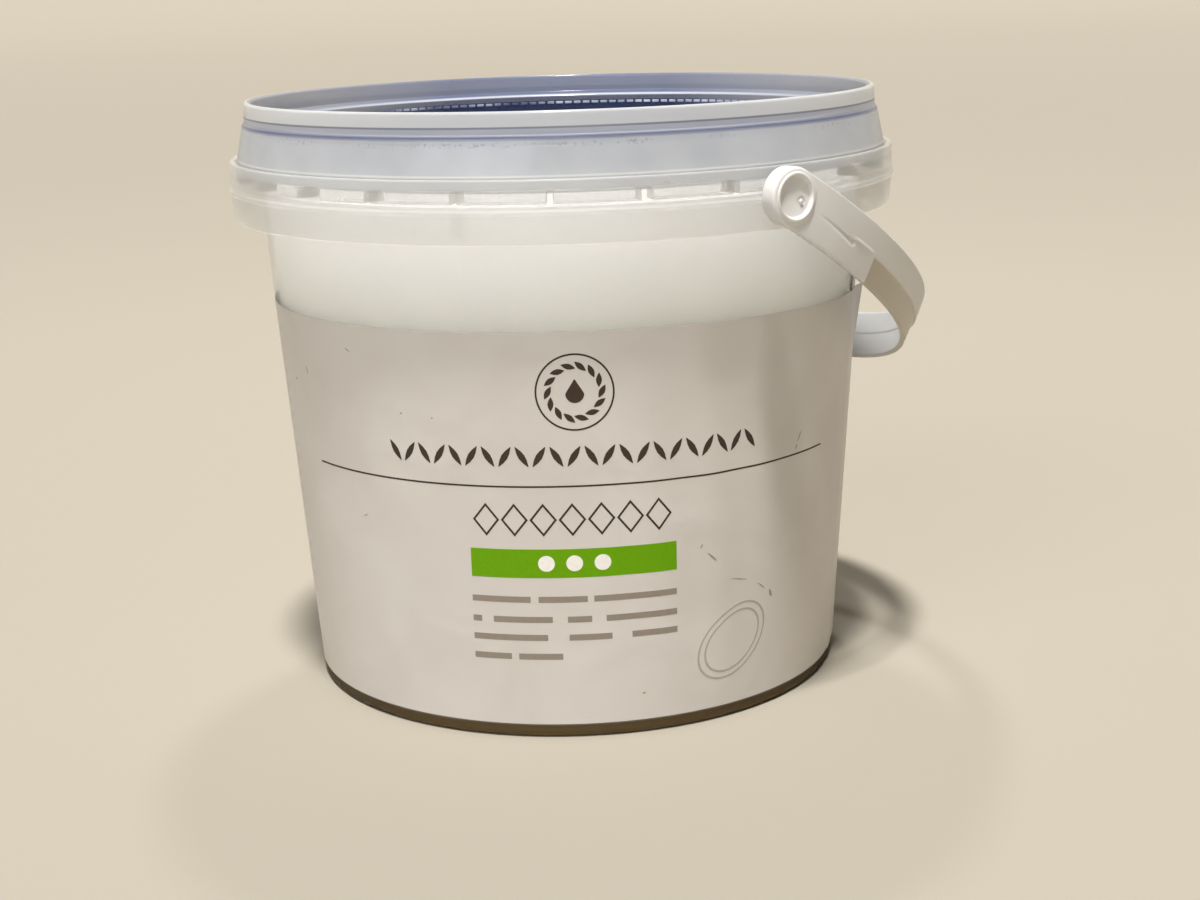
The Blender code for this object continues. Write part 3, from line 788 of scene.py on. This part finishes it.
printSize = {                   # millimetres: across from the middle of the front, then height
    "ink": 0.03, "clear": 0.005, "barStep": 1.2,
    "emblem": (1.0, 67.7, 7.2, 0.34),                # centre, radius and line
    "drop": (0.3, 1.7, 1.6, 2.2),                    # how far below the centre, radius, stretch, taper
    "leaves": (14, 4.9, 1.35, 0.55, 62, 0.75),       # count, ring, half sizes, lean, sharpness
    "garland": (-36.0, 37.0, 55.7, 23), "strokes": (2.3, 0.62, 58, 0.75),
    "rule": (-57.6, 58.2, 50.0, 0.34), "chain": (-18.9, 18.6, 43.6, 7, 6.4, 0.62),
    "bar": (-19.5, 19.3, 35.1, 5.6), "dots": (-5.2, 0.0, 5.2), "dot": 1.55, "textHeight": 1.2,
    "text": [                   # height of the line, then where each word starts and ends
        (28.0, [(-19.6, -8.4), (-6.9, 2.2), (3.4, 19.2)]),
        (24.0, [(-19.6, -17.9), (-15.6, -4.4), (-1.6, 2.9), (5.6, 19.2)]),
        (20.4, [(-19.6, -5.4), (-1.4, 6.6), (10.4, 19.2)]),
        (16.6, [(-19.6, -12.4), (-11.0, -2.7)]),
    ],
    "mark": (31.4, 15.8, 9.0, 6.2, 38, 0.45, 0.82),  # centre, half sizes, lean, line, inner share
    "scuffs": [                 # handling marks: place, length, width, lean
        (26.6, 33.7, 2.9, 0.36, -43), (24.4, 36.1, 1.0, 0.3, 60), (41.1, 23.3, 1.9, 0.7, -70),
        (38.6, 25.4, 2.6, 0.25, -40), (33.0, 28.0, 4.2, 0.16, -14), (-45.3, 73.8, 1.5, 0.25, -30),
        (-60.4, 67.9, 1.7, 0.3, -75), (-66.7, 65.2, 0.9, 0.3, 50), (-32.7, 62.9, 0.6, 0.3, 0),
        (-26.0, 62.5, 0.5, 0.3, 0), (-43.5, 41.5, 1.3, 0.2, 24), (49.6, 53.4, 2.4, 0.3, 55),
        (48.6, 51.4, 1.2, 0.3, 70), (12.4, 8.2, 0.7, 0.35, 0),
    ],
}


def flatBar(x0, x1, middle, tall):
    bpy.ops.object.select_all(action="DESELECT")
    bpy.ops.mesh.primitive_grid_add(x_subdivisions=max(2, round((x1 - x0) / printSize["barStep"])),
                                    y_subdivisions=1, size=1,
                                    location=((x0 + x1) / 2 * mm, middle * mm, 0))
    bar = bpy.context.object
    bar.scale = ((x1 - x0) * mm, tall * mm, 1)
    settle(bar)
    return bar


def flatRound(x, y, halfWide, halfTall, lean=0, sides=32, band=None, point=0.0):
    # a disc, or a band round its edge; point sharpens its two ends into a leaf
    bpy.ops.object.select_all(action="DESELECT")
    bpy.ops.mesh.primitive_circle_add(vertices=sides, radius=1,
                                      fill_type="NOTHING" if band else "TRIFAN")
    shape = bpy.context.object
    if band:
        inner = 1 - band / max(halfWide, halfTall)
        bpy.ops.object.mode_set(mode="EDIT")
        bpy.ops.mesh.extrude_edges_move()
        bpy.ops.transform.resize(value=(inner, inner, 1))
        bpy.ops.object.mode_set(mode="OBJECT")
    turn = Matrix.Rotation(math.radians(lean), 3, "Z")
    for vertex in shape.data.vertices:
        tall = vertex.co.y * (1 - point * vertex.co.x ** 2) * halfTall
        vertex.co = (turn @ Vector((vertex.co.x * halfWide, tall, 0)) + Vector((x, y, 0))) * mm
    return shape


def layOnLabel(name, shapes, ink, raised=0.0):
    shape = joinPieces(name, shapes)
    selectOnly(shape)
    bpy.ops.object.mode_set(mode="EDIT")
    bpy.ops.mesh.select_all(action="SELECT")
    bpy.ops.mesh.normals_make_consistent(inside=False)
    bpy.ops.mesh.subdivide(number_cuts=2)   # so that it follows the curve of the paper
    bpy.ops.object.mode_set(mode="OBJECT")
    faceOutwards(shape, lambda centre: Vector((0, 0, 1)))
    applyModifier(shape, "SOLIDIFY", thickness=printSize["ink"] * mm, offset=0)
    paper = labelSize["gap"] + labelSize["thickness"] + printSize["clear"] + raised
    for vertex in shape.data.vertices:
        across, height, lift = vertex.co / mm
        radius = wallRadius(height)
        azimuth = math.degrees(across / radius)
        radius += paper + lift + paperWave(azimuth, height)
        vertex.co = around(radius * mm, azimuth, height * mm)
    finishPiece(shape, ink, "tub", None)


def makePrint():
    s = printSize
    brown = printInk("brownOffsetInk", "#43372F")
    soft = printInk("thinBrownOffsetInk", "#8F857A")
    green = printInk("greenOffsetInk", "#669D05")
    white = printInk("whiteOffsetInk", "#EFEBE4")
    grey = printInk("paleGreyOffsetInk", "#ADA69D")
    dirt = printInk("rubbedDirt", "#9C9081")
    x, y, size, line = s["emblem"]
    below, dropSize, stretch, taper = s["drop"]
    shapes = [flatRound(x, y, size, size, sides=96, band=line),
              flatRound(x, y - below, dropSize, dropSize)]
    for vertex in shapes[1].data.vertices:  # the disc drawn up into a drop
        up = vertex.co.y / mm - y + below
        if up > 0:
            vertex.co.x = (x + (vertex.co.x / mm - x) * (1 - up / taper)) * mm
            vertex.co.y = (y - below + up * stretch) * mm
    count, ring, long, wide, lean, sharp = s["leaves"]
    for i in range(count):
        angle = math.tau * i / count
        shapes.append(flatRound(x + ring * math.cos(angle), y + ring * math.sin(angle), long, wide,
                                math.degrees(angle) + lean, 14, None, sharp))
    layOnLabel("labelEmblem", shapes, brown)
    x0, x1, y, count = s["garland"]
    long, wide, lean, sharp = s["strokes"]
    shapes = [flatRound(x0 + (x1 - x0) * (i + 0.5) / count, y, long, wide,
                        lean if i % 2 else -lean, 14, None, sharp) for i in range(count)]
    layOnLabel("labelGarland", shapes, brown)
    x0, x1, y, tall = s["rule"]
    layOnLabel("labelRule", [flatBar(x0, x1, y, tall)], brown)
    x0, x1, y, count, tall, line = s["chain"]
    wide = (x1 - x0) / count
    shapes = [flatRound(x0 + wide * (i + 0.5), y, wide / 2 - 0.15, tall / 2, 0, 4, line)
              for i in range(count)]
    layOnLabel("labelChain", shapes, brown)
    x0, x1, y, tall = s["bar"]
    layOnLabel("labelGreenBar", [flatBar(x0, x1, y, tall)], green)
    layOnLabel("labelDots", [flatRound(x, y, s["dot"], s["dot"]) for x in s["dots"]], white, 0.02)
    shapes = [flatBar(x0, x1, y, s["textHeight"]) for y, words in s["text"] for x0, x1 in words]
    layOnLabel("labelText", shapes, soft)
    x, y, wide, tall, lean, line, inner = s["mark"]
    shapes = [flatRound(x, y, wide * grow, tall * grow, lean, 64, line) for grow in (1, inner)]
    layOnLabel("labelMark", shapes, grey)
    shapes = [flatRound(x, y, long / 2, wide / 2, lean, 10, None, 0.6)
              for x, y, long, wide, lean in s["scuffs"]]
    layOnLabel("labelScuffs", shapes, dirt, 0.01)


makePrint()
print("print ready")


handleSize = {                  # millimetres
    "radius": 70.1, "reach": 84.5, "width": 10.6, "thickness": 1.6, "edge": 0.4,
    "columns": 380, "rows": 48,
    "wedge": (6, 19, 0.3, 1.6, 0.40),    # start, end, least and greatest width, depth of the hollow
    "lip": (19, 26, 0.6, 0.12),          # start, end, width and height of the thin proud edge
    "step": 27.5, "stepDepth": 0.45, "crown": 0.12, "innerStep": 0.12,
    "pad": 5.35, "padFace": 66.95, "padRound": 0.7, "stud": 2.3, "studTip": 64.2,
    "ring": 4.55, "ringInner": 3.75, "ringHeight": 0.30, "dish": 0.35,
    # place along the strap, radius, and depth or height
    "pit": (1.75, 0.95, 0.35), "nub": (1.85, 0.42, 0.55),
}


def makeHandle():
    s = handleSize
    samples = 2000
    angles = [math.pi * i / samples for i in range(samples + 1)]
    lengths = [0]
    for a, b in zip(angles, angles[1:]):
        lengths.append(lengths[-1] + math.hypot(s["radius"] * (math.cos(b) - math.cos(a)),
                                                s["reach"] * (math.sin(b) - math.sin(a))))
    total = lengths[-1]
    half = s["width"] / 2

    def onPath(distance):  # place and outward direction on the half ellipse
        place = min(samples, max(0, bisect.bisect_right(lengths, distance) - 1))
        share = 0
        if place < samples:
            share = max(0, (distance - lengths[place]) / (lengths[place + 1] - lengths[place]))
        angle = math.pi * (place + share) / samples
        normal = Vector((math.cos(angle) / s["radius"], math.sin(angle) / s["reach"])).normalized()
        return Vector((s["radius"] * math.cos(angle), s["reach"] * math.sin(angle))), normal

    def outerRelief(near, q):  # the lower half steps down, with a hollow by the middle line
        height = -s["crown"] * (q / half) ** 2
        start, end, least, most, deep = s["wedge"]
        if q < 0 and start < near < end:
            grown = (near - start) / (end - start)
            height -= deep * grown * max(0, 1 + q / (least + (most - least) * grown))
        if q < 0 and near > s["step"]:
            height -= s["stepDepth"]
        start, end, wide, tall = s["lip"]
        if 0 <= q < wide and start < near < end:
            height += tall
        return height

    bpy.ops.object.select_all(action="DESELECT")
    bpy.ops.mesh.primitive_grid_add(x_subdivisions=s["columns"], y_subdivisions=s["rows"], size=1)
    strap = bpy.context.object
    strap.name = "bailHandle"
    strap.scale = (total * mm, s["width"] * mm, 1)
    settle(strap)
    applyModifier(strap, "SOLIDIFY", thickness=s["thickness"] * mm, offset=-1)
    applyModifier(strap, "BEVEL", width=s["edge"] * mm, segments=4, angle_limit=math.radians(50))
    for vertex in strap.data.vertices:
        u, q, depth = vertex.co.x / mm + total / 2, vertex.co.y / mm, -vertex.co.z / mm
        place, normal = onPath(u)
        near = min(u, total - u)
        share = max(0, 1 - 2 * depth / s["thickness"])
        height = outerRelief(near, q) * share - depth
        if near > s["step"] and depth > s["thickness"] / 2 and abs(q) < half - s["edge"]:
            height -= s["innerStep"] * (q > 0)
        place = place + normal * height
        vertex.co = pivotPlace + (pivotAxis * place.x + strapStart * place.y + strapAcross * q) * mm
    for side in (1, -1):
        corners = [
            (0, s["studTip"], 0), (s["stud"], s["studTip"], 0.4), (s["stud"], s["padFace"], 0.3),
            (s["pad"], s["padFace"], 0.2), (s["pad"], s["radius"] + 0.02, s["padRound"]),
            (s["ring"], s["radius"] + 0.02, 0.1),
            (s["ring"] - 0.25, s["radius"] + s["ringHeight"], 0.18),
            (s["ringInner"] + 0.2, s["radius"] + s["ringHeight"], 0.15),
            (s["ringInner"] - 0.15, s["radius"] - s["dish"], 0.3),
            (0, s["radius"] - s["dish"] - 0.1, 0),
        ]
        pad = turnOutline("handlePad", corners, 96)
        turn = Matrix((strapStart * side, strapAcross, pivotAxis * side)).transposed()
        pad.matrix_world = Matrix.Translation(pivotPlace) @ turn.to_4x4()
        settle(pad)
        along, radius, deep = s["pit"]
        floorPlace = s["radius"] - s["dish"]
        pit = pivotCylinder(radius, floorPlace - deep, floorPlace + 1, side, 32, along)
        cutOrJoin(pad, pit, "DIFFERENCE")
        along, radius, tall = s["nub"]
        nub = pivotCylinder(radius, floorPlace - deep - 0.2, floorPlace - deep + tall, side, 24, along)
        applyModifier(nub, "BEVEL", width=0.12 * mm, segments=2)
        cutOrJoin(pad, nub, "UNION")
        hollow = pivotCylinder(s["ring"] - 0.3, floorPlace - 0.2, s["radius"] + 1, side, 96)
        cutOrJoin(strap, hollow, "DIFFERENCE")
        cutOrJoin(strap, pad, "UNION")
    finishPiece(strap, polypropyleneHandle(), "handle", "handle", 35)


makeHandle()
print("handle ready")
